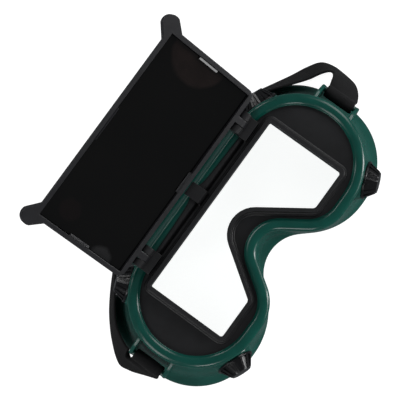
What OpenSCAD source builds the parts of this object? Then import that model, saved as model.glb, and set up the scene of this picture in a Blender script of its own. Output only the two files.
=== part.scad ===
/* [Face frame] */
// Half width of the front lip
lip_half_w = 77.6; // [75:0.1:79]
// Height of the front lip above the window's centre
lip_top = 34.8; // [34:0.1:36]
// Depth of the front lip below the window's centre
lip_bottom = 35.3; // [34:0.1:37]
// Half width of the rear rim, at the temples
rim_half_w = 87.4; // [86:0.1:89]
// Height of the rear rim above the window's centre
rim_top = 41; // [39:0.1:42]
// Depth of the rear rim below the window's centre
rim_bottom = 40.2; // [39:0.1:43]
// Height of the front lip above the surface that the rear rim lies on
lip_z = 43.8; // [40:0.1:48]
// How far the rear rim rises over the forehead
brow_rise = 12; // [6:0.5:16]
// How far the rear rim rises over the nose
nose_rise = 18; // [12:0.5:22]
// Thickness of the soft wall
wall = 2.4; // [2:0.1:3]
// Width of the rounded front lip
lip_w = 6.3; // [5.5:0.1:7]

/* [Front plate and window] */
// Width of the window
window_w = 102.4; // [98:0.1:104]
// Height of the window
window_h = 44; // [42:0.1:45]
// Height of the arch over the nose, above the window's centre
arch_y = 8.6; // [7:0.1:10]
// Thickness of the plate
plate_t = 2.2; // [1.8:0.1:2.4]
// Thickness of the clear lens behind the plate
lens_t = 2.2; // [1.6:0.1:2.3]
// Width of the light rim around the window
seal_w = 2; // [1.6:0.1:2.1]
// Height of the light rim above the plate
seal_h = 6; // [5:0.1:6.2]

/* [Visor] */
// Width of the visor frame
visor_w = 113.8; // [112.4:0.1:115]
// Height of the visor frame
visor_h = 56.4; // [56.2:0.1:57]
// Thickness of the visor frame
visor_t = 8.2; // [8.2:0.1:9]
// Width of a standard filter plate
glass_w = 108; // [107.6:0.1:108]
// Height of a standard filter plate
glass_h = 51; // [50.6:0.1:51]
// Thickness of the dark filter plate
filter_t = 3; // [2.8:0.1:3]
// Thickness of the clear cover plate
cover_t = 1.2; // [1:0.1:1.2]
// Angle between the closed and the raised visor
open_angle = 152; // [150:1:160]

/* [Hinge] */
// Distance of each hinge from the middle
hinge_x = 41.5; // [38:0.1:44]
// Height of the hinge axis above the window's centre
hinge_y = 33.5; // [33.2:0.1:34]
// Height of the hinge axis above the front plate
hinge_rise = 8.8; // [8.6:0.1:9.2]
// Length of each hinge
hinge_w = 11.6; // [10:0.1:12]
// Radius of each hinge pin
pin_r = 1; // [0.9:0.05:1.1]

/* [Vents] */
// Direction of each vent, from the side towards the top or bottom
vent_angle = 68; // [64:1:70]
// Radius of each vent's flange
vent_r = 10; // [9:0.1:10.4]
// Height of each vent's cap
vent_h = 5.7; // [5.5:0.1:8]
// Number of grip ribs round each cap
vent_ribs = 14; // [8:1:18]

/* [Strap] */
// Width of the elastic band
strap_w = 17; // [16:0.5:18]
// Thickness of the elastic band
strap_t = 1.4; // [1.2:0.1:1.6]

/* [Hidden] */
$fn = 48;
eps = 0.01;
green = "#15493f";
black = "#222226";
// The middle of the assembly's footprint, from the window's centre.
centre_x = 2.8;
centre_y = 24.6;

// Front lip outline: corners as [x, y, radius, points on the straight after it], anticlockwise.
side_r = 34.6;
lip_corners = [
    [lip_half_w, lip_top, side_r, 13],
    [-lip_half_w, lip_top, side_r, 0],
    [-lip_half_w, -lip_bottom, side_r, 0],
    [-23.7, -lip_bottom, 22.4, 1],
    [0, -0.1, 11.4, 1],
    [23.7, -lip_bottom, 22.4, 0],
    [lip_half_w, -lip_bottom, side_r, 0]
];
// Rear rim outline, corner for corner with the lip's.
rim_r = 35.4;
rim_corners = [
    [rim_half_w, rim_top, rim_r, 13],
    [-rim_half_w, rim_top, rim_r, 0],
    [-rim_half_w, -rim_bottom, rim_r, 0],
    [-31.6, -rim_bottom, 38.4, 1],
    [0, -6, 21, 1],
    [31.6, -rim_bottom, 38.4, 0],
    [rim_half_w, -rim_bottom, rim_r, 0]
];
arc_steps = 9;
fine_steps = 16;
arch_half_w = 62;

// Window outline, with the arch over the nose.
notch_half_w = 28.6;
notch_r = 14.2;
notch_peak = arch_y + 10.8;
window_corners = [
    [window_w / 2, window_h / 2, 0.6, 0],
    [-window_w / 2, window_h / 2, 0.6, 0],
    [-window_w / 2, -window_h / 2, 1.5, 0],
    [-notch_half_w, -window_h / 2, 2.4, 0],
    [0, notch_peak, notch_r, 0],
    [notch_half_w, -window_h / 2, 2.4, 0],
    [window_w / 2, -window_h / 2, 1.5, 0]
];

// Levels of the front stack, from the lip down.
groove_roof = lip_z - 2.9;
plate_z = groove_roof - 0.1;
plate_under = plate_z - plate_t;
lens_z = plate_under - 0.2;
groove_floor = lens_z - lens_t - 0.2;
groove_inset = 3;
plate_inset = groove_inset + 0.2;
shelf_inset = 7;
shelf_under = groove_floor - 1.8;
neck = 1;

// Hinge and visor, in coordinates of the hinge axis with the visor closed.
hinge_z = plate_z + hinge_rise;
knuckle_r = 3.3;
knuckle_gap = 0.2;
ear_w = 3.8;
visor_near = 3.8;
visor_inner = -3.3;
visor_outer = visor_inner + visor_t;
visor_mid = -visor_near - visor_h / 2;
view_lip = 1.3;
view_w = 100;
view_h = 43;
pocket_gap = 0.3;
gasket_t = 0.8;
catch_in = 1.2;
arm_top = hinge_z + visor_inner - 0.25;

// Vents: each stands on the side wall, on an axis that leans forward.
vent_lean = 10;
vent_z = 27;
vent_share = 0.12;
vent_hole = 6;
pad_top = 1.4;
seat_t = 1.2;

// Strap lugs: a bar between two cheeks at each temple.
lug_x = 84.2;
lug_y = 1.2;
lug_z = 26;
lug_bar_r = 1.5;
lug_gap = 19;
cheek_t = 2;
loop_r = lug_bar_r + 0.35 + strap_t / 2;

function unit(v) = v / norm(v);
function mix(a, b, t) = a + (b - a) * t;

// One rounded corner: its centre, first angle, sweep, radius and side (1 convex, -1 hollow).
function corner(list, i) =
    let (
        n = len(list),
        c = [list[i].x, list[i].y],
        p = [list[(i + n - 1) % n].x, list[(i + n - 1) % n].y],
        q = [list[(i + 1) % n].x, list[(i + 1) % n].y],
        u = unit(p - c),
        v = unit(q - c),
        half = acos(u * v) / 2,
        r = list[i][2],
        centre = c + unit(u + v) * r / sin(half),
        side = u.x * v.y - u.y * v.x < 0 ? 1 : -1,
        first = c + u * r / tan(half) - centre
    )
    [centre, atan2(first.y, first.x), side * (180 - 2 * half), r, side];

function corner_point(c, t) =
    let (a = c[1] + c[2] * t)
    [c[0].x + c[3] * cos(a), c[0].y + c[3] * sin(a), c[4] * cos(a), c[4] * sin(a)];

// Whole outline as [x, y, outward x, outward y].
function trace(list, steps) = [
    for (i = [0 : len(list) - 1])
        let (
            here = corner(list, i),
            next = corner(list, (i + 1) % len(list)),
            extra = list[i][3]
        )
        each concat(
            [for (k = [0 : steps]) corner_point(here, k / steps)],
            [for (k = [1 : 1 : extra]) mix(corner_point(here, 1), corner_point(next, 0), k / (extra + 1))]
        )
];
function inset(path, d) = [for (q = path) [q.x - q[2] * d, q.y - q[3] * d]];

// How far the rear rim rises at a place, over the forehead or the nose.
function rim_rise(x, y) =
    (y < 0 ? nose_rise : brow_rise) * (1 + cos(180 * min(abs(x) / arch_half_w, 1))) / 2;

// Wall profile: [share from lip to rim outline, inset, share from lip to rim level, extra height].
// The wall is steep under the lip and flares out into the rim.
wall_drops = [0.3, 0.6, 0.78, 0.9, 1];
function flare(s) = 0.4 * s + 0.6 * pow(s, 6);
under_lip = 5.6;
rim_over = 2.6;
function wall_row(s, extra) = [flare(s), neck * (1 - s) + extra, s, mix(-under_lip, rim_over, s)];
profile = concat(
    [
        [0, lip_w, 0, -1.8], [0, lip_w - 0.3, 0, -0.9], [0, lip_w - 1.2, 0, -0.25],
        [0, lip_w / 2, 0, 0], [0, 1.8, 0, -0.25], [0, 0.7, 0, -1], [0, 0.1, 0, -2.1],
        [0, 0, 0, -3.3], [0, 0.3, 0, -4.6], [0, neck, 0, -under_lip]
    ],
    [for (s = wall_drops) wall_row(s, 0)],
    [
        [1, 0.3, 1, 1.1], [1, 1.4, 1, 0.2], [1, 2.6, 1, 0], [1, 6.4, 1, 0],
        [1, 7.6, 1, 0.7], [1, 7.4, 1, 2], [1, 3.6, 1, 3.4]
    ],
    [for (k = [len(wall_drops) - 2 : -1 : 0]) wall_row(wall_drops[k], wall)],
    [
        [0, neck + wall, 0, shelf_under - 1.2 - lip_z], [0, shelf_inset, 0, shelf_under - lip_z],
        [0, shelf_inset, 0, groove_floor - lip_z], [0, groove_inset, 0, groove_floor - lip_z],
        [0, groove_inset, 0, groove_roof - lip_z], [0, lip_w, 0, groove_roof - lip_z]
    ]
);

// Elastic band: pairs of [upper edge, lower edge], from the right lug to the left.
band_right = [
    [[86.6, 9.7, 22.9], [89.2, -7.2, 20.6]],
    [[90.2, 10.6, 21], [94, -4.4, 14.4]],
    [[93.4, 11.4, 19.2], [98, 0.2, 8]],
    [[95, 13, 18], [100.2, 8.6, 2.6]],
    [[94, 15.4, 16.6], [100.6, 15.6, 1.2]],
    [[90.6, 18, 15.6], [98.6, 22, 0.8]],
    [[85.4, 21, 15.4], [92.4, 26.4, 0.8]],
    [[78.8, 26, 16], [83.4, 30.8, 0.7]]
];
band_left = [
    [[-86.2, 9.7, 22.8], [-88.2, -7.2, 20.6]],
    [[-88.6, 9.9, 21.4], [-89, -3.4, 17.6]],
    [[-89.2, 12, 20.2], [-91, 2.8, 12.6]],
    [[-87.4, 14.8, 19], [-93.6, 8.4, 8]],
    [[-84.4, 17.6, 18.2], [-95.6, 13.2, 4]],
    [[-82, 20.8, 17.4], [-93.4, 18, 1.8]],
    [[-79.8, 24.6, 17], [-89.2, 23, 0.9]],
    [[-76.4, 29, 17], [-83.4, 28.8, 0.7]]
];
band_back = [
    [[70.8, 32.2, 16.8], [74, 36, 0.7]],
    [[62, 38.6, 17.2], [64.4, 41.4, 0.8]],
    [[50, 47, 17.8], [51.6, 48.8, 1.2]],
    [[37, 54.6, 18.4], [37.8, 55.2, 1.6]],
    [[25, 58.6, 18.9], [25.2, 58.6, 1.9]],
    [[18, 59.2, 19], [18, 59.2, 2]],
    [[0, 59.2, 19], [0, 59.2, 2]],
    [[-18, 59.2, 19], [-18, 59.2, 2]],
    [[-25, 58.8, 18.9], [-25.2, 58.8, 1.9]],
    [[-37, 55.2, 18.4], [-37.8, 55.6, 1.6]],
    [[-50, 48, 17.8], [-51.6, 49, 1.2]],
    [[-61, 40.4, 17.2], [-63.6, 42.8, 0.8]],
    [[-70.2, 34, 17], [-74.8, 35.8, 0.7]]
];
keeper_y = 59.2;
keeper_w = 10;
keeper_wall = 1.5;
keeper_gap = 0.3;

// The band's turn round a lug bar, from its tail behind the bar to its outer side.
tail_z = 13;
function loop_row(side, x, z) = [[side * x, lug_y + strap_w / 2, z], [side * x, lug_y - strap_w / 2, z]];
function lug_loop(side) = concat(
    [loop_row(side, lug_x - loop_r + 2.2, tail_z), loop_row(side, lug_x - loop_r + 0.6, 20)],
    [for (a = [180 : -36 : 0]) loop_row(side, lug_x + loop_r * cos(a), lug_z + loop_r * sin(a))]
);
function reversed(list) = [for (i = [len(list) - 1 : -1 : 0]) list[i]];
band_rows = concat(lug_loop(1), band_right, band_back, reversed(band_left), reversed(lug_loop(-1)));

// A smooth curve through the rows.
band_steps = 2;
function spline(a, b, c, d, t) =
    0.5 * (2 * b + (c - a) * t + (2 * a - 5 * b + 4 * c - d) * t * t + (3 * b - a - 3 * c + d) * t * t * t);
function row(i) = band_rows[max(0, min(len(band_rows) - 1, i))];
smooth_rows = [
    for (i = [0 : len(band_rows) - 2], k = [0 : band_steps - 1])
        [for (e = [0, 1]) spline(row(i - 1)[e], row(i)[e], row(i + 1)[e], row(i + 2)[e], k / band_steps)],
    [for (e = [0, 1]) row(len(band_rows) - 1)[e]]
];
function middle(i) = (smooth_rows[i][0] + smooth_rows[i][1]) / 2;
function along(i) = unit(middle(min(i + 1, len(smooth_rows) - 1)) - middle(max(i - 1, 0)));
function band_ring(i) =
    let (
        across = unit(smooth_rows[i][0] - smooth_rows[i][1]),
        out = unit(cross(along(i), across)) * strap_t / 2,
        half = across * strap_w / 2
    )
    [middle(i) + half + out, middle(i) + half - out, middle(i) - half - out, middle(i) - half + out];

// Closed skin over rings of points; shut joins the last ring to the first.
module rings(list, shut) {
    n = len(list);
    m = len(list[0]);
    last = shut ? n - 1 : n - 2;
    sides = [
        for (i = [0 : last], j = [0 : m - 1])
            let (a = i * m + j, b = i * m + (j + 1) % m, c = ((i + 1) % n) * m)
            each [[a, c + j, b], [b, c + j, c + (j + 1) % m]]
    ];
    ends = shut ? [] : [
        [for (j = [0 : m - 1]) j],
        [for (j = [m - 1 : -1 : 0]) (n - 1) * m + j]
    ];
    polyhedron([for (r = list) each r], concat(sides, ends));
}

module placed() {
    translate([-centre_x, -centre_y, 0]) children();
}

module on_hinge() {
    placed() translate([0, hinge_y, hinge_z]) rotate([-open_angle, 0, 0]) children();
}

module frame_skin() {
    lip = trace(lip_corners, arc_steps);
    rim = trace(rim_corners, arc_steps);
    rings([
        for (i = [0 : len(lip) - 1])
            let (
                foot = rim_rise(rim[i].x, rim[i].y),
                n = unit([lip[i][2] + rim[i][2], lip[i][3] + rim[i][3]])
            )
            [for (q = profile)
                let (p = mix([lip[i].x, lip[i].y], [rim[i].x, rim[i].y], q[0]) - n * q[1])
                [p.x, p.y, mix(lip_z, foot, q[2]) + q[3]]]
    ], true);
}

// Puts a vent's axis along +Z, from the wall outwards; sides are -1 or 1.
module at_vent(side_x, side_y) {
    base_x = mix(lip_half_w - side_r, rim_half_w - rim_r, vent_share);
    base_y = side_y > 0 ? lip_top - side_r : -mix(lip_bottom - side_r, rim_bottom - rim_r, vent_share);
    reach = mix(side_r, rim_r, vent_share) - 0.6;
    translate([
        side_x * (base_x + reach * cos(vent_angle)),
        base_y + side_y * reach * sin(vent_angle),
        vent_z
    ])
        rotate([0, 0, atan2(side_y * sin(vent_angle), side_x * cos(vent_angle))])
            rotate([0, 90 - vent_lean, 0])
                children();
}

module strap_lug(side) {
    cheek = [
        [75.6, 36], [80.2, 35.4], [86, 29.4], [87.4, 26], [87, 20.6], [85.4, 13],
        [80.4, 12.4], [78.6, 18], [76.9, 27.5]
    ];
    mirror([side < 0 ? 1 : 0, 0, 0]) translate([0, lug_y, 0]) {
        for (y = [-lug_gap / 2 - cheek_t, lug_gap / 2])
            translate([0, y + cheek_t, 0]) rotate([90, 0, 0]) linear_extrude(cheek_t) polygon(cheek);
        translate([lug_x, lug_gap / 2 + eps, lug_z])
            rotate([90, 0, 0])
                cylinder(r = lug_bar_r, h = lug_gap + 2 * eps);
    }
}

module face_frame() {
    pad_h = 2;
    color(green) placed() difference() {
        union() {
            frame_skin();
            for (x = [-1, 1]) {
                strap_lug(x);
                for (y = [-1, 1])
                    at_vent(x, y) translate([0, 0, pad_top - pad_h]) cylinder(r = vent_r + 0.5, h = pad_h);
            }
        }
        for (x = [-1, 1], y = [-1, 1])
            at_vent(x, y) translate([0, 0, -7]) cylinder(r = vent_hole, h = 9);
    }
}

// One hinge bracket on the plate: two ears on an arm that crosses over the lip.
module bracket() {
    arm_in = hinge_y - 7.3;
    translate([-hinge_w / 2, arm_in, plate_z - eps]) cube([hinge_w, 1.8, arm_top - plate_z + eps]);
    translate([-hinge_w / 2, arm_in, lip_z + 0.3]) cube([hinge_w, 8.9, arm_top - lip_z - 0.3]);
    for (x = [-hinge_w / 2, hinge_w / 2 - ear_w])
        translate([x, hinge_y, hinge_z]) {
            rotate([0, 90, 0]) cylinder(r = knuckle_r, h = ear_w);
            translate([0, -2.9, arm_top - hinge_z - 0.5]) cube([ear_w, 4.8, hinge_z - arm_top + 0.5]);
        }
}

// Sprung tongue that holds the visor up or down.
module tongue() {
    tongue_w = 7.6;
    side = [
        [26, plate_z - eps], [28.4, plate_z - eps], [28.4, lip_z + 0.2], [34.6, lip_z + 0.4],
        [36, lip_z + 1], [35.6, lip_z + 2], [33.6, lip_z + 2.2], [27.4, lip_z + 1.9], [26, lip_z + 0.6]
    ];
    translate([-tongue_w / 2, 0, 0]) rotate([90, 0, 90]) linear_extrude(tongue_w) polygon(side);
}

module front_plate() {
    window = trace(window_corners, 10);
    color(black) placed() difference() {
        union() {
            translate([0, 0, plate_under])
                linear_extrude(plate_t) polygon(inset(trace(lip_corners, fine_steps), plate_inset));
            translate([0, 0, plate_z - eps])
                linear_extrude(seal_h + eps) polygon(inset(window, -seal_w));
            for (x = [-hinge_x, hinge_x]) translate([x, 0, 0]) bracket();
            tongue();
        }
        translate([0, 0, plate_under - 1]) linear_extrude(seal_h + plate_t + 2) polygon(inset(window, 0));
        for (x = [-hinge_x, hinge_x])
            translate([x - hinge_w / 2 - 1, hinge_y, hinge_z])
                rotate([0, 90, 0])
                    cylinder(r = pin_r + 0.02, h = hinge_w + 2);
    }
}

module clear_lens() {
    color([0.92, 0.95, 0.95, 0.3]) placed()
        translate([0, 0, lens_z - lens_t])
            linear_extrude(lens_t) polygon(inset(trace(lip_corners, fine_steps), plate_inset + 0.4));
}

module vent_seat(x, y) {
    tube_r = vent_hole - 0.1;
    color(black) placed() at_vent(x, y) difference() {
        union() {
            translate([0, 0, pad_top + 0.02]) cylinder(r = vent_r, h = seat_t);
            translate([0, 0, -4]) cylinder(r = tube_r, h = 4 + pad_top + seat_t + 2.6);
        }
        translate([0, 0, -5]) cylinder(r = tube_r - 1.4, h = 14);
    }
}

module vent_cap(x, y) {
    base_r = vent_r - 1.6;
    end_r = 5.3;
    skin = 1.2;
    start = pad_top + seat_t + 0.04;
    color(black) placed() at_vent(x, y) translate([0, 0, start]) difference() {
        union() {
            cylinder(r1 = base_r, r2 = end_r, h = vent_h);
            for (i = [0 : vent_ribs - 1])
                rotate([0, 0, i * 360 / vent_ribs])
                    translate([end_r - 1, -0.5, 0]) rotate([90, 0, 0]) translate([0, 0, -1])
                        linear_extrude(1)
                            polygon([[0, 0], [base_r - end_r + 1.8, 0], [1.6, vent_h - 0.6], [0, vent_h - 0.6]]);
        }
        translate([0, 0, -eps]) cylinder(r = vent_hole + 0.15, h = 3);
        translate([0, 0, 3 - 2 * eps]) cylinder(r = end_r - skin, h = vent_h - 3 - skin);
    }
}

module hinge_pin(side) {
    color("silver") placed()
        translate([side * hinge_x - hinge_w / 2, hinge_y, hinge_z])
            rotate([0, 90, 0])
                cylinder(r = pin_r, h = hinge_w);
}

// A plate of the visor's stack, between two heights, in hinge coordinates.
module slab(w, h, low, high) {
    translate([-w / 2, visor_mid - h / 2, low]) cube([w, h, high - low]);
}

// Height of each layer under the visor's front lip.
gasket_z = visor_outer - view_lip;
cover_z = gasket_z - gasket_t;
filter_z = cover_z - cover_t;
filter_under = filter_z - filter_t;

// Wedge that holds the glass, on a wall that faces +Y in its own frame.
module catch(w) {
    rotate([90, 0, 90]) translate([0, 0, -w / 2])
        linear_extrude(w)
            polygon([
                [-0.5, filter_under - 1.7], [0.3, filter_under - 1.7],
                [catch_in, filter_under - 0.9], [catch_in, filter_under - 0.1], [-0.5, filter_under - 0.1]
            ]);
}

module visor_frame() {
    near_r = 4;
    far_r = 1.6;
    tab_r = 4.8;
    tab_t = 4;
    // The far wall leans inwards towards the front face.
    draft = 18;
    draft_from = 1.6;
    pocket_w = glass_w + 2 * pocket_gap;
    pocket_h = glass_h + 2 * pocket_gap;
    half_w = visor_w / 2;
    far = visor_mid - visor_h / 2;
    outer = [
        [half_w, -visor_near, near_r, 0], [-half_w, -visor_near, near_r, 0],
        [-half_w, far, far_r, 0], [half_w, far, far_r, 0]
    ];
    knuckle_w = hinge_w - 2 * ear_w - 2 * knuckle_gap;
    color(black) on_hinge() difference() {
        union() {
            difference() {
                union() {
                    difference() {
                        translate([0, 0, visor_inner])
                            linear_extrude(visor_t) polygon(inset(trace(outer, 8), 0));
                        translate([-half_w - 1, far, visor_inner + draft_from])
                            rotate([-draft, 0, 0]) translate([0, -10, 0]) cube([visor_w + 2, 10, 2 * visor_t]);
                    }
                    for (x = [-1, 1])
                        translate([x * (half_w + 0.6), far - 0.6, visor_inner]) cylinder(r = tab_r, h = tab_t);
                    for (x = [-1, 1])
                        translate([x * (half_w - 1.6), far + 1.6, visor_inner])
                            rotate([0, 0, 45]) translate([-5, -5, 0]) cube([10, 10, tab_t]);
                }
                slab(pocket_w, pocket_h, visor_inner - 1, gasket_z);
                slab(view_w, view_h, gasket_z - eps, visor_outer + 1);
            }
            translate([0, visor_mid - pocket_h / 2, 0]) catch(19);
            translate([0, visor_mid + pocket_h / 2, 0]) rotate([0, 0, 180]) catch(12);
            for (x = [-1, 1])
                translate([x * pocket_w / 2, visor_mid - 1, 0]) rotate([0, 0, x * 90]) catch(12);
            for (x = [-hinge_x, hinge_x])
                translate([x - knuckle_w / 2, 0, 0]) {
                    rotate([0, 90, 0]) cylinder(r = knuckle_r, h = knuckle_w);
                    translate([0, -visor_near - 0.5, visor_inner]) cube([knuckle_w, visor_near + 0.5, 5.6]);
                }
        }
        for (x = [-hinge_x, hinge_x])
            translate([x - knuckle_w / 2 - 1, 0, 0]) rotate([0, 90, 0]) cylinder(r = pin_r + 0.06, h = knuckle_w + 2);
    }
}

module glass_gasket() {
    color("black") on_hinge() difference() {
        slab(glass_w, glass_h, cover_z + 0.02, gasket_z - 0.02);
        slab(view_w + 2, view_h + 2, cover_z - 1, gasket_z + 1);
    }
}

module cover_glass() {
    color([0.9, 0.95, 0.95, 0.3]) on_hinge() slab(glass_w, glass_h, filter_z + 0.02, cover_z);
}

module filter_glass() {
    color([0.05, 0.07, 0.05, 0.9]) on_hinge() slab(glass_w, glass_h, filter_under, filter_z);
}

module head_strap() {
    color("#1b1b1d") placed() rings([for (i = [0 : len(smooth_rows) - 1]) band_ring(i)], false);
}

module strap_keeper() {
    inside_t = strap_t + 2 * keeper_gap;
    inside_h = strap_w + 2 * keeper_gap;
    outside_t = inside_t + 2 * keeper_wall;
    outside_h = inside_h + 2 * keeper_wall;
    strap_mid = 10.5;
    color(black) placed() translate([-keeper_w / 2, keeper_y, strap_mid]) difference() {
        translate([0, -outside_t / 2, -outside_h / 2]) cube([keeper_w, outside_t, outside_h]);
        translate([-1, -inside_t / 2, -inside_h / 2]) cube([keeper_w + 2, inside_t, inside_h]);
    }
}

face_frame();
front_plate();
clear_lens();
vent_seat(-1, 1);  // vent_seat_top_left
vent_seat(1, 1);  // vent_seat_top_right
vent_seat(-1, -1);  // vent_seat_bottom_left
vent_seat(1, -1);  // vent_seat_bottom_right
vent_cap(-1, 1);  // vent_cap_top_left
vent_cap(1, 1);  // vent_cap_top_right
vent_cap(-1, -1);  // vent_cap_bottom_left
vent_cap(1, -1);  // vent_cap_bottom_right
hinge_pin(-1);  // hinge_pin_left
hinge_pin(1);  // hinge_pin_right
visor_frame();
glass_gasket();
cover_glass();
filter_glass();
head_strap();
strap_keeper();
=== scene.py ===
"""Welding goggles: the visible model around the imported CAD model.

Places are in millimetres from the middle of the window, and at() gives them in the row frame, in metres.
"""
import math

import bmesh
import bpy
import numpy as np
from mathutils import Matrix, Vector


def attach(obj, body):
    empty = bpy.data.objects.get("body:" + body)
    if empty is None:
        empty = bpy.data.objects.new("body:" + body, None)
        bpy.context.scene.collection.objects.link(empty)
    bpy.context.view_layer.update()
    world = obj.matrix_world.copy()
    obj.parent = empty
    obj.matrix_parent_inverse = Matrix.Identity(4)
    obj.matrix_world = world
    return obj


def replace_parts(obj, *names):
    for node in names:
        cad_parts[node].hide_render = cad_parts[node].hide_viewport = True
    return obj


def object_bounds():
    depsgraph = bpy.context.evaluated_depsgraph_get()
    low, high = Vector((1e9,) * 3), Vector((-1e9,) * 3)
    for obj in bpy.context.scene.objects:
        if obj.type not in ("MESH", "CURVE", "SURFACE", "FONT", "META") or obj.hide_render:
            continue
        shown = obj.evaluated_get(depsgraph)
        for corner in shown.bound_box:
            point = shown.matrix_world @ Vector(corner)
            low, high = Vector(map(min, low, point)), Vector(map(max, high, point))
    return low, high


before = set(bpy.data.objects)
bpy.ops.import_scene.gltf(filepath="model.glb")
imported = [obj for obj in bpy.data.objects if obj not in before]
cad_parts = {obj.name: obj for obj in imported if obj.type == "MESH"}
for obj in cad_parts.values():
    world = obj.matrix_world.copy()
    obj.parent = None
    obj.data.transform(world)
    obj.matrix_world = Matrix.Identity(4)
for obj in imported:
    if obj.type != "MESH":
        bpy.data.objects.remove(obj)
cad_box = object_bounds()

MM = 0.001
CENTRE_X, CENTRE_Y = 2.8, 24.6  # the row frame's origin
LIP_Z = 43.8  # the top of the front lip
GOGGLES, VISOR, KEEPER = "goggles", "visor", "keeper"
VENTS = [f"{level}_{side}" for level in ("top", "bottom") for side in ("left", "right")]


# ---------------------------------------------------------------- camera
PICTURE_MM = 202.0  # width of the view in the plane of the front lip
CAMERA_FOOT = (-39.0, -36.0)  # the point of that plane straight under the camera
CAMERA_RISE = 722.0
AIM = (-1.7, 27.5)
PICTURE_UP = (0.8085, 0.5885)  # the picture's upward direction, in X and Y
SENSOR = 36.0


def at(x, y, z):
    """A place given in millimetres from the middle of the window, in the row frame."""
    return Vector(((x - CENTRE_X) * MM, (y - CENTRE_Y) * MM, z * MM))


def make_camera():
    """The camera, set from where it stands, what it looks at and how much of the lip's plane it sees."""
    place = at(*CAMERA_FOOT, LIP_Z + CAMERA_RISE)
    aim = at(*AIM, LIP_Z)
    back = (place - aim).normalized()
    right = Vector((*PICTURE_UP, 0)).cross(back).normalized()
    up = back.cross(right)
    data = bpy.data.cameras.new("camera")
    data.sensor_width = SENSOR
    data.lens = SENSOR * (place - aim).length / (PICTURE_MM * MM)
    data.clip_start = 0.01
    camera = bpy.data.objects.new("camera", data)
    bpy.context.scene.collection.objects.link(camera)
    camera.matrix_world = Matrix([
        [right.x, up.x, back.x, place.x],
        [right.y, up.y, back.y, place.y],
        [right.z, up.z, back.z, place.z],
        [0, 0, 0, 1],
    ])
    bpy.context.scene.camera = camera


# ---------------------------------------------------------------- outlines, as in the CAD model
def unit(v):
    return v / np.linalg.norm(v)


def corner(points, i):
    """One rounded corner: its centre, first angle, sweep, radius and side (1 convex, -1 hollow)."""
    c, p, q = (np.array(points[k % len(points)][:2], float) for k in (i, i - 1, i + 1))
    r = points[i % len(points)][2]
    u, v = unit(p - c), unit(q - c)
    half = math.acos(float(u @ v)) / 2
    centre = c + unit(u + v) * r / math.sin(half)
    side = 1 if u[0] * v[1] - u[1] * v[0] < 0 else -1
    first = c + u * r / math.tan(half) - centre
    return centre, math.atan2(first[1], first[0]), side * (math.pi - 2 * half), r, side


def corner_point(c, t):
    """The place and outward direction at a share t of the way round a corner."""
    a = c[1] + c[2] * t
    away = np.array([math.cos(a), math.sin(a)])
    return np.concatenate([c[0] + c[3] * away, c[4] * away])


def trace(points, steps):
    """The whole outline as rows of x, y, outward x, outward y.

    A corner's fourth value is the number of points on the straight after it.
    """
    rows = []
    for i, point in enumerate(points):
        here, after = corner(points, i), corner(points, i + 1)
        rows += [corner_point(here, k / steps) for k in range(steps + 1)]
        ends = corner_point(here, 1), corner_point(after, 0)
        rows += [ends[0] + (ends[1] - ends[0]) * k / (point[3] + 1) for k in range(1, point[3] + 1)]
    return np.array(rows)


# The front lip and the rear rim, as corners of x, y, radius and the points on the straight after it.
SIDE_R = 34.6
LIP_HALF_W, LIP_TOP, LIP_BOTTOM = 77.6, 34.8, 35.3
LIP = [
    (LIP_HALF_W, LIP_TOP, SIDE_R, 25), (-LIP_HALF_W, LIP_TOP, SIDE_R, 0),
    (-LIP_HALF_W, -LIP_BOTTOM, SIDE_R, 2), (-23.7, -LIP_BOTTOM, 22.4, 3), (0, -0.1, 11.4, 3),
    (23.7, -LIP_BOTTOM, 22.4, 2), (LIP_HALF_W, -LIP_BOTTOM, SIDE_R, 0),
]
RIM_R = 35.4
RIM_HALF_W, RIM_TOP, RIM_BOTTOM = 87.4, 41.0, 40.2
RIM = [
    (RIM_HALF_W, RIM_TOP, RIM_R, 25), (-RIM_HALF_W, RIM_TOP, RIM_R, 0),
    (-RIM_HALF_W, -RIM_BOTTOM, RIM_R, 2), (-31.6, -RIM_BOTTOM, 38.4, 3), (0, -6, 21, 3),
    (31.6, -RIM_BOTTOM, 38.4, 2), (RIM_HALF_W, -RIM_BOTTOM, RIM_R, 0),
]
ARCH_HALF_W = 62
BROW_RISE, NOSE_RISE = 12, 18


def rim_rise(x, y):
    """How far the rear rim stands off the floor, over the brow and over the nose."""
    rise = NOSE_RISE if y < 0 else BROW_RISE
    return rise * (1 + math.cos(math.pi * min(abs(x) / ARCH_HALF_W, 1))) / 2


# ---------------------------------------------------------------- meshes
def add(name, mesh, body, material):
    """Links a finished mesh as a piece of a body and material."""
    piece = bpy.data.objects.new(name, mesh)
    bpy.context.scene.collection.objects.link(piece)
    mesh.materials.clear()
    mesh.materials.append(material)
    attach(piece, body)
    return piece


def grid_mesh(name, rings, shut):
    """A closed skin over rings of points; shut joins the last ring to the first."""
    n, m = len(rings), len(rings[0])
    points = [tuple(p) for ring in rings for p in ring]
    faces = []
    for i in range(n if shut else n - 1):
        for j in range(m):
            k, after = (j + 1) % m, (i + 1) % n
            faces.append((i * m + j, i * m + k, after * m + k, after * m + j))
    if not shut:
        faces += [tuple(range(m))[::-1], tuple((n - 1) * m + j for j in range(m))]
    mesh = bpy.data.meshes.new(name)
    mesh.from_pydata(points, [], faces)
    return outward(mesh)


def outward(mesh):
    """Turns every face outwards and shades the mesh smooth."""
    work = bmesh.new()
    work.from_mesh(mesh)
    bmesh.ops.recalc_face_normals(work, faces=work.faces)
    work.to_mesh(mesh)
    work.free()
    for face in mesh.polygons:
        face.use_smooth = True
    return mesh


def sharpen(mesh, angle):
    """Shades every edge sharper than angle degrees as a sharp one."""
    mesh.set_sharp_from_angle(angle=math.radians(angle))


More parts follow.
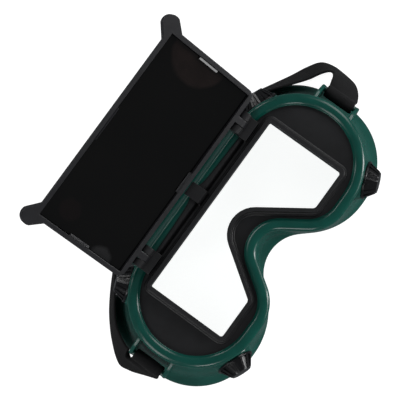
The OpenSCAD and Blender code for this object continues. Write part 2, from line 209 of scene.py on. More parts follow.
def round_edges(piece, width, segments, angle, clamp=True):
    """Rounds every edge sharper than angle degrees. With clamp, the shortest edge limits every rounding."""
    mod = piece.modifiers.new("edges", "BEVEL")
    mod.width = width * MM
    mod.segments = segments
    mod.limit_method = "ANGLE"
    mod.angle_limit = math.radians(angle)
    mod.harden_normals = True
    mod.miter_outer = "MITER_ARC"
    mod.use_clamp_overlap = clamp


WELD_MM = 0.002  # points closer together than this are one point
FLAT_ANGLE, SHARP_ANGLE = 1, 32  # degrees: edges below the first are dissolved, above the second rounded


def bevelled(node, body, material, width, segments=3, clamp=True, change=None):
    """Adds a piece with the shape of a CAD node, after change, and with every sharp edge rounded."""
    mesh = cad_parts[node].data.copy()
    work = bmesh.new()
    work.from_mesh(mesh)
    bmesh.ops.remove_doubles(work, verts=work.verts, dist=WELD_MM * MM)
    flat = math.radians(FLAT_ANGLE)
    bmesh.ops.dissolve_limit(work, angle_limit=flat, verts=work.verts, edges=work.edges)
    if change:
        change(work)
    bmesh.ops.recalc_face_normals(work, faces=work.faces)
    work.to_mesh(mesh)
    work.free()
    for face in mesh.polygons:
        face.use_smooth = True
    sharpen(mesh, SHARP_ANGLE)
    piece = add(f"{node}_shell", mesh, body, material)
    round_edges(piece, width, segments, SHARP_ANGLE, clamp)
    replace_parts(piece, node)


# ---------------------------------------------------------------- visor
# The visor's own millimetres start at the hinge. With the visor closed, their axes lie along the row frame's.
HINGE_Y, HINGE_Z = 33.5, 49.6
OPEN = math.radians(152)
FILTER_Z = -1.4  # the inner face of the filter glass
CATCH_X, CATCH_Y, CATCH_W = 54.3, -33.0, 12.0
# A catch's slope: places inwards from the pocket's wall, and heights.
CATCH_SLOPE = [(0.35, -3.1), (1.3, -2.6), (1.3, -2.45), (0.35, -2.9)]
CATCH_PROUD, CATCH_MARGIN = 0.06, 0.2  # how far its face stands proud, and stops short of its ends
TAB_X, TAB_Y, TAB_R = 57.5, -60.8, 4.8
NECK_OUT = 4  # the neck's outer corners are further out than this from the round end's middle
NECK_PROUD = (0.2, 0.8)  # the least and most that those corners stand out from the round end


def on_visor(x, y, z):
    """A place given in the visor's own millimetres, in the row frame with the visor open."""
    turn = -OPEN
    return at(x, HINGE_Y + y * math.cos(turn) - z * math.sin(turn),
              HINGE_Z + y * math.sin(turn) + z * math.cos(turn))


def ease_tabs(work):
    """Pulls in the corners where each lifting tab's neck stands out from its round end."""
    for vertex in work.verts:
        x = vertex.co.x / MM + CENTRE_X
        y, z = vertex.co.y / MM + CENTRE_Y - HINGE_Y, vertex.co.z / MM - HINGE_Z
        own = np.array([abs(x), y * math.cos(OPEN) - z * math.sin(OPEN)])
        away = own - (TAB_X, TAB_Y)
        reach = float(np.linalg.norm(away))
        outside = away[0] > NECK_OUT or away[1] < -NECK_OUT
        if outside and TAB_R + NECK_PROUD[0] < reach < TAB_R + NECK_PROUD[1]:
            height = y * math.sin(OPEN) + z * math.cos(OPEN)
            x_new, y_new = (TAB_X, TAB_Y) + away / reach * TAB_R
            vertex.co = on_visor(math.copysign(x_new, x), y_new, height)


def make_catch_faces(material):
    """The polished slope of each end catch."""
    for side, name in ((1, "right"), (-1, "left")):
        rings = [
            [on_visor(side * (CATCH_X - inward), CATCH_Y + along, z - CATCH_PROUD)
             for inward, z in CATCH_SLOPE]
            for along in (CATCH_MARGIN - CATCH_W / 2, CATCH_W / 2 - CATCH_MARGIN)
        ]
        mesh = grid_mesh(f"catch_face_{name}", rings, False)
        sharpen(mesh, angle=30)
        add(mesh.name, mesh, VISOR, material)


# ---------------------------------------------------------------- materials
class Paint:
    """A node material under construction."""

    def __init__(self, name):
        self.material = bpy.data.materials.new(name)
        self.material.use_nodes = True
        self.tree = self.material.node_tree
        self.tree.nodes.clear()
        self.output = self.node("ShaderNodeOutputMaterial")
        self.shader = self.node("ShaderNodeBsdfPrincipled")
        self.link(self.shader.outputs[0], self.output.inputs[0])
        self.place = self.node("ShaderNodeTexCoord").outputs["Object"]

    def node(self, kind, **values):
        """A new node; each value goes to the socket of that name, or else to the node's own setting."""
        made = self.tree.nodes.new(kind)
        for key, value in values.items():
            if key in made.inputs:
                made.inputs[key].default_value = value
            else:
                setattr(made, key, value)
        return made

    def link(self, a, b):
        self.tree.links.new(a, b)

    def set(self, **values):
        """Sets inputs of the main shader, with _ for the spaces in their names."""
        for key, value in values.items():
            self.shader.inputs[key.replace("_", " ")].default_value = value

    def noise(self, size, detail=3.0, rough=0.5, stretch=(1, 1, 1)):
        """Noise with features about size millimetres across."""
        scaled = self.node("ShaderNodeMapping")
        scaled.inputs["Scale"].default_value = stretch
        self.link(self.place, scaled.inputs["Vector"])
        made = self.node("ShaderNodeTexNoise", Scale=1 / (size * MM), Detail=detail, Roughness=rough)
        self.link(scaled.outputs[0], made.inputs["Vector"])
        return made.outputs["Fac"]

    def ramp(self, value, stops):
        """Values between stops of (place, (r, g, b))."""
        made = self.node("ShaderNodeValToRGB")
        band = made.color_ramp
        while len(band.elements) < len(stops):
            band.elements.new(0.5)
        for element, (place, colour) in zip(band.elements, stops):
            element.position = place
            element.color = (*colour, 1)
        self.link(value, made.inputs[0])
        return made.outputs[0]

    def scaled(self, value, low, high, start=0.0, end=1.0):
        """Moves value from the range start to end into the range low to high."""
        made = self.node("ShaderNodeMapRange")
        made.inputs["From Min"].default_value = start
        made.inputs["From Max"].default_value = end
        made.inputs["To Min"].default_value = low
        made.inputs["To Max"].default_value = high
        self.link(value, made.inputs["Value"])
        return made.outputs[0]

    def maths(self, kind, a, b):
        made = self.node("ShaderNodeMath", operation=kind)
        for socket, value in zip(made.inputs, (a, b)):
            if isinstance(value, (int, float)):
                socket.default_value = value
            else:
                self.link(value, socket)
        return made.outputs[0]

    def bump(self, *layers):
        """Bump from layers of (height value, depth in millimetres)."""
        normal = None
        for height, depth in layers:
            made = self.node("ShaderNodeBump", Strength=1.0, Distance=depth * MM)
            self.link(height, made.inputs["Height"])
            if normal is not None:
                self.link(normal, made.inputs["Normal"])
            normal = made.outputs[0]
        self.link(normal, self.shader.inputs["Normal"])


def green_pvc():
    """Glossy green PVC with a faint orange-peel surface."""
    paint = Paint("pvc_green")
    cloud = paint.noise(9, 4)
    paint.link(
        paint.ramp(cloud, [(0.3, (0.0022, 0.052, 0.039)), (0.7, (0.0042, 0.068, 0.052))]),
        paint.shader.inputs["Base Color"],
    )
    paint.link(paint.scaled(paint.noise(3, 5), 0.16, 0.28), paint.shader.inputs["Roughness"])
    paint.set(IOR=1.48)
    paint.bump((paint.noise(6, 2), 0.05), (paint.noise(0.8, 2), 0.0015))
    return paint.material


def moulded_black(name, dark, light, rough, grain):
    """Black plastic or rubber between two colours, with a moulded grain that is grain millimetres across."""
    paint = Paint(name)
    paint.link(
        paint.ramp(paint.noise(12, 5), [(0.3, dark), (0.75, light)]),
        paint.shader.inputs["Base Color"],
    )
    paint.link(
        paint.scaled(paint.noise(4, 6), rough - 0.06, rough + 0.08),
        paint.shader.inputs["Roughness"],
    )
    paint.bump((paint.noise(grain, 3, 0.6), 0.02), (paint.noise(7, 2), 0.03))
    return paint.material


# Painted reflections on the filter glass, as soft spots: middle in the visor's own X and Y, radius, and
# colour.
GLASS_REFLECTION_SPOTS = [
    (55.0, -38.0, 16.0, (0.009, 0.0055, 0.005)),
    (-54.5, -19.0, 5.8, (0.02, 0.02, 0.021)),
    (-44.0, -46.0, 6.0, (0.0026, 0.0012, 0.0013)),
]
SPOT_RAGGED = 1.2  # how far a painted reflection spot's edge wanders in and out
SPOT_FADE = (-1.2, 0.6)  # a painted reflection spot's edge fades over this range about its radius


def dark_glass():
    """Near-black filter glass with faint painted reflections laid on as soft spots."""
    paint = Paint("filter_dark")
    cloud = paint.noise(40, 2)
    colour = paint.ramp(cloud, [(0.3, (0.0014, 0.0013, 0.0012)), (0.8, (0.0024, 0.0021, 0.0019))])
    # Each spot adds a painted reflection to the glass colour, with a ragged, patchy edge.
    for x, y, radius, tone in GLASS_REFLECTION_SPOTS:
        away = paint.node("ShaderNodeVectorMath", operation="DISTANCE")
        paint.link(paint.place, away.inputs[0])
        away.inputs[1].default_value = on_visor(x, y, FILTER_Z)
        wander = paint.scaled(paint.noise(5, 3), -SPOT_RAGGED * MM, SPOT_RAGGED * MM)
        ragged = paint.maths("ADD", away.outputs["Value"], wander)
        reflection_spot = paint.scaled(ragged, 1, 0, (radius + SPOT_FADE[0]) * MM, (radius + SPOT_FADE[1]) * MM)
        reflection_spot = paint.maths("MULTIPLY", reflection_spot, paint.scaled(paint.noise(7, 4), 0.6, 1.0, 0.3, 0.7))
        mixed = paint.node("ShaderNodeMix", data_type="RGBA", blend_type="ADD", clamp_factor=True)
        paint.link(reflection_spot, mixed.inputs[0])
        paint.link(colour, mixed.inputs[6])
        mixed.inputs[7].default_value = (*tone, 1)
        colour = mixed.outputs[2]
    paint.link(colour, paint.shader.inputs["Base Color"])
    paint.link(paint.scaled(paint.noise(18, 6), 0.03, 0.075, 0.3, 0.75), paint.shader.inputs["Roughness"])
    paint.set(IOR=1.5)
    return paint.material


def clear_sheet(name, tint, shine):
    """Thin clear plastic or glass: what is behind it, with a Fresnel reflection and faint wipe marks."""
    paint = Paint(name)
    paint.tree.nodes.remove(paint.shader)
    through = paint.node("ShaderNodeBsdfTransparent", Color=(*tint, 1))
    gloss = paint.node("ShaderNodeBsdfGlossy", Color=(1, 1, 1, 1))
    paint.link(paint.scaled(paint.noise(14, 6), 0.02, 0.09, 0.3, 0.75), gloss.inputs["Roughness"])
    edge = paint.node("ShaderNodeFresnel", IOR=1.45)
    mix = paint.node("ShaderNodeMixShader")
    paint.link(paint.maths("MULTIPLY", edge.outputs[0], shine), mix.inputs[0])
    paint.link(through.outputs[0], mix.inputs[1])
    paint.link(gloss.outputs[0], mix.inputs[2])
    paint.link(mix.outputs[0], paint.output.inputs[0])
    return paint.material


RIB_PITCH, PICK_PITCH = 1.05, 0.62


def elastic():
    """Black knitted elastic: ribs along the band, crossed by fine picks. The UV map is in metres."""
    paint = Paint("strap_elastic")
    uv = paint.node("ShaderNodeUVMap", uv_map="band")
    split = paint.node("ShaderNodeSeparateXYZ")
    paint.link(uv.outputs[0], split.inputs[0])
    turn = 2 * math.pi
    across = paint.maths("MULTIPLY", split.outputs[1], turn / (RIB_PITCH * MM))
    along = paint.maths("MULTIPLY", split.outputs[0], turn / (PICK_PITCH * MM))
    rib = paint.maths("SINE", across, 0)
    # Each rib's picks are half a step out of line with the next rib's.
    shift = paint.maths("MULTIPLY", paint.maths("SIGN", rib, 0), math.pi / 2)
    pick = paint.maths("SINE", paint.maths("ADD", along, shift), 0)
    weave = paint.maths("ADD", paint.maths("ABSOLUTE", rib, 0), paint.maths("MULTIPLY", pick, 0.45))
    fuzz = paint.noise(0.35, 4, 0.7)
    height = paint.maths("ADD", weave, paint.maths("MULTIPLY", fuzz, 0.5))
    # The colour follows the knit's height: the valleys are darker as painted shade, and the fuzz adds random
    # tone.
    paint.link(
        paint.ramp(
            paint.scaled(height, 0, 1, -0.3, 1.7),
            [(0.1, (0.003, 0.003, 0.003)), (0.9, (0.016, 0.016, 0.017))],
        ),
        paint.shader.inputs["Base Color"],
    )
    paint.set(Roughness=0.85, Specular_IOR_Level=0.15)
    paint.bump((height, 0.09))
    return paint.material


def steel():
    """Bright steel wire, drawn along X."""
    paint = Paint("pin_steel")
    drawn = paint.noise(0.4, 3, stretch=(0.05, 1, 1))
    colour = paint.ramp(drawn, [(0.3, (0.42, 0.42, 0.43)), (0.7, (0.6, 0.6, 0.61))])
    paint.link(colour, paint.shader.inputs["Base Color"])
    paint.link(paint.scaled(drawn, 0.22, 0.4), paint.shader.inputs["Roughness"])
    paint.set(Metallic=1.0)
    return paint.material


# ---------------------------------------------------------------- green body
WALL, LIP_W, NECK = 2.4, 6.3, 1.0
LIP_HALF_H, LIP_POWER = 2.75, 2.4  # the lip's round top is a superellipse
WALL_STEPS = 12
UNDER_LIP, RIM_OVER = 5.6, 2.6
# The groove that holds the front plate and the lens, and the shelf under it.
SHELF_INSET, GROOVE_INSET = 7, 3
GROOVE_ROOF, GROOVE_FLOOR, SHELF_UNDER = -2.9, -7.8, -9.6


def flare(s):
    """Share of the way out to the rim at a share s of the way down to it."""
    return 0.4 * s + 0.6 * s**6


def wall_profile():
    """Rows of share from lip to rim outline, inset, share from lip to rim level, extra height."""
    rows = [(0, LIP_W, 0, -1.8), (0, LIP_W, 0, -1.3)]
    middle = LIP_W / 2
    for a in range(20, 181, 20):
        c, s = math.cos(math.radians(a)), math.sin(math.radians(a))
        shape = (abs(c) ** LIP_POWER + abs(s) ** LIP_POWER) ** (-1 / LIP_POWER)
        rows.append((0, middle + middle * c * shape, 0, -LIP_HALF_H + LIP_HALF_H * s * shape))
    rows += [(0, 0, 0, -4.0), (0, 0.35, 0, -5.0), (0, NECK, 0, -UNDER_LIP)]
    for k in range(1, WALL_STEPS + 1):
        s = k / WALL_STEPS
        rows.append((flare(s), NECK * (1 - s), s, -UNDER_LIP + (RIM_OVER + UNDER_LIP) * s))
    rows += [
        (1, 0.1, 1, 1.3), (1, 0.9, 1, 0.3), (1, 2.4, 1, 0), (1, 4.5, 1, 0), (1, 6.6, 1, 0.1),
        (1, 7.5, 1, 0.8), (1, 7.3, 1, 1.9), (1, 5.2, 1, 2.6), (1, 3.4, 1, 3.8),
    ]
    for k in range(WALL_STEPS - 1, 0, -1):
        s = k / WALL_STEPS
        rows.append((flare(s), NECK * (1 - s) + WALL, s, -UNDER_LIP + (RIM_OVER + UNDER_LIP) * s))
    rows += [
        (0, NECK + WALL, 0, SHELF_UNDER - 1.2), (0, SHELF_INSET - 1, 0, SHELF_UNDER - 0.4),
        (0, SHELF_INSET, 0, SHELF_UNDER + 0.3), (0, SHELF_INSET, 0, GROOVE_FLOOR),
        (0, SHELF_INSET - 0.3, 0, GROOVE_FLOOR), (0, GROOVE_INSET, 0, GROOVE_FLOOR),
        (0, GROOVE_INSET, 0, GROOVE_ROOF), (0, LIP_W - 0.3, 0, GROOVE_ROOF), (0, LIP_W, 0, GROOVE_ROOF),
    ]
    return rows


def body_rings(steps):
    """The wall's section at each place round the lip, with steps to each corner."""
    lip, rim, profile = trace(LIP, steps), trace(RIM, steps), wall_profile()
    rings = []
    for a, b in zip(lip, rim):
        foot = rim_rise(b[0], b[1])
        out = unit(a[2:] + b[2:])
        ring = []
        for share, inset, level, extra in profile:
            p = a[:2] + (b[:2] - a[:2]) * share - out * inset
            ring.append(at(p[0], p[1], LIP_Z + (foot - LIP_Z) * level + extra))
        rings.append(ring)
    return rings


def turned(outline, place, axis, steps):
    """Rings of a turned shape: the outline's points are (radius, height along the axis)."""
    axis = Vector(axis).normalized()
    side = axis.orthogonal().normalized()
    other = axis.cross(side)
    rings = []
    for k in range(steps):
        turn = 2 * math.pi * k / steps
        away = side * math.cos(turn) + other * math.sin(turn)
        rings.append([place + (away * radius + axis * height) * MM for radius, height in outline])
    return rings


VENT_ANGLE, VENT_LEAN, VENT_Z, VENT_HOLE = 68, 10, 27.0, 6.0
VENT_DOWN = 0.12  # the wall's flare at the vents, as a share of the way out to the rim
VENT_SUNK = 0.6  # how far inside the wall's outer face a vent's own heights start


def vent_axis(level, side):
    """The place and direction of a vent's axis; level and side are -1 or 1."""
    base_x = LIP_HALF_W - SIDE_R + VENT_DOWN * ((RIM_HALF_W - RIM_R) - (LIP_HALF_W - SIDE_R))
    low = LIP_BOTTOM - SIDE_R + VENT_DOWN * ((RIM_BOTTOM - RIM_R) - (LIP_BOTTOM - SIDE_R))
    base_y = LIP_TOP - SIDE_R if level > 0 else -low
    reach = SIDE_R + VENT_DOWN * (RIM_R - SIDE_R) - VENT_SUNK
    turn, lean = math.radians(VENT_ANGLE), math.radians(VENT_LEAN)
    out = Vector((side * math.cos(turn), level * math.sin(turn), 0))
    place = at(side * base_x + reach * out.x, base_y + reach * out.y, VENT_Z)
    return place, out * math.cos(lean) + Vector((0, 0, math.sin(lean)))


def vent_axes():
    """The name of each vent with the place and direction of its axis."""
    for level, high in (("top", 1), ("bottom", -1)):
        for side, right in (("left", -1), ("right", 1)):
            yield f"{level}_{side}", vent_axis(high, right)


def cut_vent_holes(piece):
    """Cuts the four vent holes through the wall, and leaves a plain mesh."""
    # Each cutter is a tube, so its core, 0.04 mm thick, stays behind as a loose sliver in the hole.
    core, under, over = 0.02, -7, 4
    bore = [(core, under), (VENT_HOLE, under), (VENT_HOLE, over), (core, over)]
    cutters = []
    for name, (place, axis) in vent_axes():
        mesh = grid_mesh(f"cutter_{name}", turned(bore, place, axis, steps=40), True)
        cutter = bpy.data.objects.new(mesh.name, mesh)
        bpy.context.scene.collection.objects.link(cutter)
        cutters.append(cutter)
        mod = piece.modifiers.new(name, "BOOLEAN")
        mod.object, mod.operation, mod.solver = cutter, "DIFFERENCE", "EXACT"
    bpy.context.view_layer.update()
    whole = bpy.data.meshes.new_from_object(piece.evaluated_get(bpy.context.evaluated_depsgraph_get()))
    piece.modifiers.clear()
    piece.data = whole
    for cutter in cutters:
        bpy.data.objects.remove(cutter)


def make_body(material):
    """The goggle body's wall, from the front lip to the rear rim."""
    mesh = grid_mesh("goggle_body", body_rings(steps=18), True)
    piece = add(mesh.name, mesh, GOGGLES, material)
    mod = piece.modifiers.new("smooth", "SUBSURF")
    mod.levels = mod.render_levels = 1
    cut_vent_holes(piece)
    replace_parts(piece, "face_frame")


PAD_UNDER, PAD_TOP = -1.6, 1.38


def make_vent_pads(material):
    """Round pads moulded on the wall under the vents, with a fillet down to it."""
    outline = [
        (VENT_HOLE, PAD_UNDER), (VENT_HOLE, PAD_TOP), (9.4, PAD_TOP), (10.1, 1.2), (10.45, 0.7),
        (10.6, 0), (11.2, -0.9), (11.4, PAD_UNDER),
    ]
    for name, (place, axis) in vent_axes():
        mesh = grid_mesh(f"vent_pad_{name}", turned(outline, place, axis, steps=56), True)
        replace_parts(add(mesh.name, mesh, GOGGLES, material), "face_frame")


LUG_X, LUG_Y, LUG_Z, LUG_BAR_R = 84.2, 1.2, 26.0, 1.5
LUG_GAP, CHEEK_T = 19.0, 2.0
LUG_BAR_IN = 0.6  # how far the bar reaches into each cheek
LUG_BAR_STEPS = 20
LUG_ROUND, LUG_SHARP = 0.55, 40  # the rounding of its edges, and the angle in degrees from which they get it
CHEEK = [
    (75.6, 36), (79, 35.2), (82.4, 32.2), (84.9, 29), (85.9, 26), (85.8, 22.6), (85.2, 17), (84, 13.4),
    (80.4, 12.4), (78.6, 18), (76.9, 27.5),
]


def make_lug(side, name, material):
    """A strap lug: two cheeks and the bar between them, each a prism along Y."""
    turns = [2 * math.pi * k / LUG_BAR_STEPS for k in range(LUG_BAR_STEPS)]
    bar = [(LUG_X + LUG_BAR_R * math.cos(turn), LUG_Z + LUG_BAR_R * math.sin(turn)) for turn in turns]
    bar_end = LUG_GAP / 2 + LUG_BAR_IN
    points, faces = [], []
    for section, low, high in (
        (CHEEK, -LUG_GAP / 2 - CHEEK_T, -LUG_GAP / 2), (CHEEK, LUG_GAP / 2, LUG_GAP / 2 + CHEEK_T),
        (bar, -bar_end, bar_end),
    ):
        start, n = len(points), len(section)
        for y in (low, high):
            points += [at(side * x, LUG_Y + y, z) for x, z in section]
        faces += [[start + k for k in range(n)], [start + n + k for k in range(n)][::-1]]
        faces += [[start + k, start + (k + 1) % n, start + n + (k + 1) % n, start + n + k] for k in range(n)]
    mesh = bpy.data.meshes.new(name)
    mesh.from_pydata([tuple(p) for p in points], [], faces)
    piece = add(name, outward(mesh), GOGGLES, material)
    sharpen(mesh, LUG_SHARP)
    round_edges(piece, LUG_ROUND, segments=3, angle=LUG_SHARP)
    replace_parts(piece, "face_frame")


# ---------------------------------------------------------------- strap
STRAP_W, STRAP_T = 17.0, 1.4
# The band's route, as rows of its two edges: down from each lug, and round the back of the goggles.
BAND_RIGHT = [
    ((86.6, 9.7, 22.9), (89.2, -7.2, 20.6)), ((90.2, 10.6, 21), (94, -4.4, 14.4)),
    ((93.4, 11.4, 19.2), (98, 0.2, 8)), ((95, 13, 18), (100.2, 8.6, 2.6)),
    ((94, 15.4, 16.6), (100.6, 15.6, 1.2)), ((90.6, 18, 15.6), (98.6, 22, 0.8)),
    ((85.4, 21, 15.4), (92.4, 26.4, 0.8)), ((78.8, 26, 16), (83.4, 30.8, 0.7)),
]
BAND_LEFT = [
    ((-86.2, 9.7, 22.8), (-88.2, -7.2, 20.6)), ((-88.6, 9.9, 21.4), (-89, -3.4, 17.6)),
    ((-88.2, 11.8, 20.2), (-91, 2.8, 12.6)), ((-85.4, 14, 19), (-93.6, 8.4, 8)),
    ((-83.8, 16.4, 18.2), (-95.6, 13.2, 4)), ((-82, 20.4, 17.4), (-93.4, 18, 1.8)),
    ((-79.8, 24.6, 17), (-89.2, 23, 0.9)), ((-76.4, 29, 17), (-83.4, 28.8, 0.7)),
]
BAND_BACK = [
    ((70.8, 32.2, 16.8), (74, 36, 0.7)), ((62, 38.6, 17.2), (64.4, 41.4, 0.8)),
    ((50, 47, 17.8), (51.6, 48.8, 1.2)), ((37, 54.6, 18.4), (37.8, 55.2, 1.6)),
    ((25, 58.6, 18.9), (25.2, 58.6, 1.9)), ((18, 59.2, 19), (18, 59.2, 2)),
    ((0, 59.2, 19), (0, 59.2, 2)), ((-18, 59.2, 19), (-18, 59.2, 2)),
    ((-25, 58.8, 18.9), (-25.2, 58.8, 1.9)), ((-37, 55.2, 18.4), (-37.8, 55.6, 1.6)),
    ((-50, 48, 17.8), (-51.6, 49, 1.2)), ((-61, 40.4, 17.2), (-63.6, 42.8, 0.8)),
    ((-70.2, 34, 17), (-74.8, 35.8, 0.7)),
]
BAR_CLEAR = 0.35
LOOP_R = LUG_BAR_R + BAR_CLEAR + STRAP_T / 2
TAIL_Z = 13
ROW_STEPS = 7  # rings of the mesh for each row
# The band's section is flat with round selvedges: places across it, and half thicknesses there.
BAND_EDGE = [
    (-1, 0.0), (-0.985, 0.55), (-0.95, 0.9), (-0.85, 1), (-0.5, 1), (0, 1),
    (0.5, 1), (0.85, 1), (0.95, 0.9), (0.985, 0.55), (1, 0.0),
]


def lug_loop(side):
    """The band's turn round a lug bar, from its tail behind the bar to its outer side."""
    places = [(LUG_X - LOOP_R + 2.2, TAIL_Z), (LUG_X - LOOP_R + 0.6, 20)]
    for a in range(180, -1, -36):
        turn = math.radians(a)
        places.append((LUG_X + LOOP_R * math.cos(turn), LUG_Z + LOOP_R * math.sin(turn)))
    return [((side * x, LUG_Y + STRAP_W / 2, z), (side * x, LUG_Y - STRAP_W / 2, z)) for x, z in places]


def spline_rows(rows, steps):
    """A smooth curve through rows of points."""
    rows = np.array(rows, float)
    out = []
    for i in range(len(rows) - 1):
        a, b, c, d = (rows[min(max(k, 0), len(rows) - 1)] for k in (i - 1, i, i + 1, i + 2))
        for t in np.arange(steps) / steps:
            out.append(
                0.5 * (2 * b + (c - a) * t + (2 * a - 5 * b + 4 * c - d) * t**2
                       + (3 * b - a - 3 * c + d) * t**3)
            )
    return np.array(out + [rows[-1]])


def make_strap(material):
    """The elastic band, from its tail at the right lug to its tail at the left one."""
    rows = lug_loop(1) + BAND_RIGHT + BAND_BACK + BAND_LEFT[::-1] + lug_loop(-1)[::-1]
    rows = spline_rows(rows, ROW_STEPS)
    middle = rows.mean(1)
    along = np.gradient(middle, axis=0)
    reach = np.concatenate([[0], np.cumsum(np.linalg.norm(np.diff(middle, axis=0), axis=1))])
    section = BAND_EDGE + [(u, -v) for u, v in BAND_EDGE[-2:0:-1]]
    rings = []
    for row, centre, run in zip(rows, middle, along):
        across = unit(row[0] - row[1])
        out = unit(np.cross(run, across))
        rings.append([
            at(*(centre + across * u * STRAP_W / 2 + out * v * STRAP_T / 2)) for u, v in section
        ])
    mesh = grid_mesh("elastic_band", rings, False)
    uv = mesh.uv_layers.new(name="band")
    for loop in mesh.loops:
        ring, k = divmod(loop.vertex_index, len(section))
        uv.data[loop.index].uv = (reach[ring] * MM, section[k][0] * STRAP_W / 2 * MM)
    piece = add("elastic_band", mesh, GOGGLES, material)
    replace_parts(piece, "head_strap")


# ---------------------------------------------------------------- front plate details
PLATE_Z = LIP_Z - 3
WINDOW_W, WINDOW_H, NOTCH_HALF_W = 102.4, 44.0, 28.6
WINDOW = [
    (WINDOW_W / 2, WINDOW_H / 2, 0.6, 0), (-WINDOW_W / 2, WINDOW_H / 2, 0.6, 0),
    (-WINDOW_W / 2, -WINDOW_H / 2, 1.5, 0), (-NOTCH_HALF_W, -WINDOW_H / 2, 2.4, 0), (0, 19.4, 14.2, 0),
    (NOTCH_HALF_W, -WINDOW_H / 2, 2.4, 0), (WINDOW_W / 2, -WINDOW_H / 2, 1.5, 0),
]
# The step at the foot of the window's light rim: distances out from the window, heights over the plate.
STEP = [(1.9, -0.05), (1.9, 1.3), (2.5, 1.3), (2.8, 1.0), (2.9, 0.55), (3.5, 0.5), (3.8, 0.25), (3.9, -0.05)]


def make_window_step(material):
    """A low step round the foot of the window's light rim."""
    rings = [[at(x + out_x * out, y + out_y * out, PLATE_Z + up) for out, up in STEP]
             for x, y, out_x, out_y in trace(WINDOW, steps=14)]
    mesh = grid_mesh("window_step", rings, True)
    sharpen(mesh, angle=50)
    add(mesh.name, mesh, GOGGLES, material)


TONGUE_HALF_W, BRACKET_X = 3.8, 35.7  # the sides that a web lies between
WEB_GAP, WEB_SHORT = 0.2, 0.1  # the gap beside the tongue, and the one before the bracket
WEB_STEPS = 24
# The web's outer edge: its place at the brackets, how much wider it is at the tongue, and a fillet there.
WEB_EDGE, WEB_WIDENS, WEB_FILLET, FILLET_FALL = 30.2, 1.1, 1.2, 14


def make_plate_webs(material):
    """Webs of the plate beside the tongue, which reach over the lip and narrow towards the brackets."""
    length = BRACKET_X - TONGUE_HALF_W - (WEB_GAP + WEB_SHORT)
    for side, name in ((1, "right"), (-1, "left")):
        rings = []
        for i in range(WEB_STEPS + 1):
            u = i / WEB_STEPS
            x = TONGUE_HALF_W + WEB_GAP + length * u
            edge = WEB_EDGE + WEB_WIDENS * (1 - u) + WEB_FILLET * math.exp(-FILLET_FALL * u)
            outline = [
                (26.9, 40.6), (27.3, 41.6), (27.9, 43.2), (28.8, 44.15), (edge - 0.5, 44.3),
                (edge - 0.1, 44.2), (edge, 44), (edge, 43.3), (28.2, 40.6),
            ]
            rings.append([at(side * x, y, z) for y, z in outline])
        mesh = grid_mesh(f"plate_web_{name}", rings, False)
        sharpen(mesh, angle=60)
        add(mesh.name, mesh, GOGGLES, material)


# ---------------------------------------------------------------- stage
def make_floor():
    """A pale floor, kept even by its own glow, which stays out of the reflections."""
    bpy.ops.mesh.primitive_plane_add(size=6, location=(0, 0, cad_box[0][2]))
    floor = bpy.context.object
    floor.name = "floor"
    paint = Paint("floor_paper")
    paint.set(Base_Color=(0.3, 0.3, 0.3, 1), Roughness=0.9)
    paint.set(Emission_Color=(1, 1, 1, 1), Emission_Strength=0.97)
    floor.data.materials.append(paint.material)
    floor.visible_glossy = False


# Soft lights: name, place and size in metres, and power in watts.
LIGHTS = [
    ("light_low", (0.75, -0.95, 0.3), (1.1, 0.2), 4),
    ("light_spark", (0.7, -0.8, 0.36), (0.24, 0.6), 5.5),
    ("light_foot", (-0.85, -0.74, 0.61), (0.35, 0.3), 2.4),
    ("light_brow", (0.1, 1.1, 0.7), (1.2, 0.4), 6),
    ("light_left", (-1.2, 0.1, 0.8), (0.5, 1.0), 5),
    ("light_right", (1.2, 0.0, 0.8), (0.5, 1.0), 5),
]
LIGHTS_AIM = (0, 0, 0.03)
WORLD_COLOUR, WORLD_STRENGTH = (0.9, 0.95, 1, 1), 0.12


def soft_light(name, place, size, power):
    data = bpy.data.lights.new(name, "AREA")
    data.shape = "RECTANGLE"
    data.size, data.size_y = size
    data.energy = power
    light = bpy.data.objects.new(name, data)
    bpy.context.scene.collection.objects.link(light)
    light.location = place
    light.rotation_euler = (Vector(LIGHTS_AIM) - Vector(place)).to_track_quat("-Z", "Y").to_euler()
    light.visible_camera = False


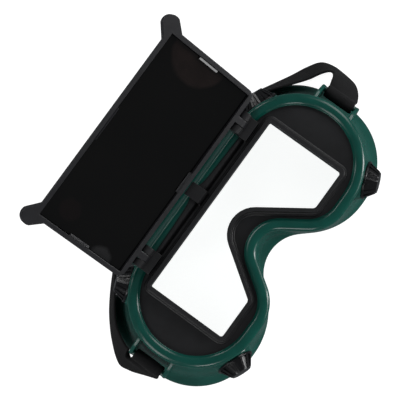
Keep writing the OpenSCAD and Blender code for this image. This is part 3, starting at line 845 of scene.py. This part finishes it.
def make_lights():
    for light in LIGHTS:
        soft_light(*light)
    world = bpy.data.worlds.new("studio")
    world.use_nodes = True
    background = world.node_tree.nodes["Background"]
    background.inputs["Color"].default_value = WORLD_COLOUR
    background.inputs["Strength"].default_value = WORLD_STRENGTH
    bpy.context.scene.world = world
    bpy.context.scene.view_settings.view_transform = "Standard"


# Moulded blacks: darker and lighter colour, roughness, and size of the grain.
BLACKS = {
    "plate_black": ((0.0055, 0.0055, 0.0062), (0.0085, 0.0085, 0.01), 0.46, 0.25),
    "visor_black": ((0.006, 0.006, 0.0076), (0.0098, 0.0098, 0.0124), 0.45, 0.3),
    "vent_black": ((0.003, 0.003, 0.0035), (0.006, 0.006, 0.007), 0.2, 0.5),
    "catch_polish": ((0.008, 0.008, 0.01), (0.013, 0.013, 0.016), 0.16, 2.5),
    "gasket_rubber": ((0.006,) * 3, (0.012,) * 3, 0.7, 0.4),
}


def main():
    make_camera()
    make_strap(elastic())
    green = green_pvc()
    make_body(green)
    make_vent_pads(green)
    make_lug(1, "strap_lug_right", green)
    make_lug(-1, "strap_lug_left", green)
    plate_black, visor_black, vent_black, catch_polish, gasket_rubber = (
        moulded_black(name, *look) for name, look in BLACKS.items())
    bevelled("front_plate", GOGGLES, plate_black, 0.35)
    make_window_step(plate_black)
    make_plate_webs(plate_black)
    make_catch_faces(catch_polish)
    bevelled("visor_frame", VISOR, visor_black, 0.35, clamp=False, change=ease_tabs)
    bevelled("strap_keeper", KEEPER, visor_black, 0.4)
    for vent in VENTS:
        bevelled(f"vent_seat_{vent}", GOGGLES, vent_black, 0.3)
        bevelled(f"vent_cap_{vent}", GOGGLES, vent_black, 0.2, segments=2)
    pin_steel = steel()
    for node, material in {
        "clear_lens": clear_sheet("lens_clear", (0.985, 0.992, 0.99), 0.35),
        "cover_glass": clear_sheet("cover_clear", (0.95, 0.98, 0.97), 1.0),
        "filter_glass": dark_glass(),
        "glass_gasket": gasket_rubber,
        "hinge_pin_left": pin_steel,
        "hinge_pin_right": pin_steel,
    }.items():
        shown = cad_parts[node].data
        shown.materials.clear()
        shown.materials.append(material)
    make_floor()
    make_lights()


main()
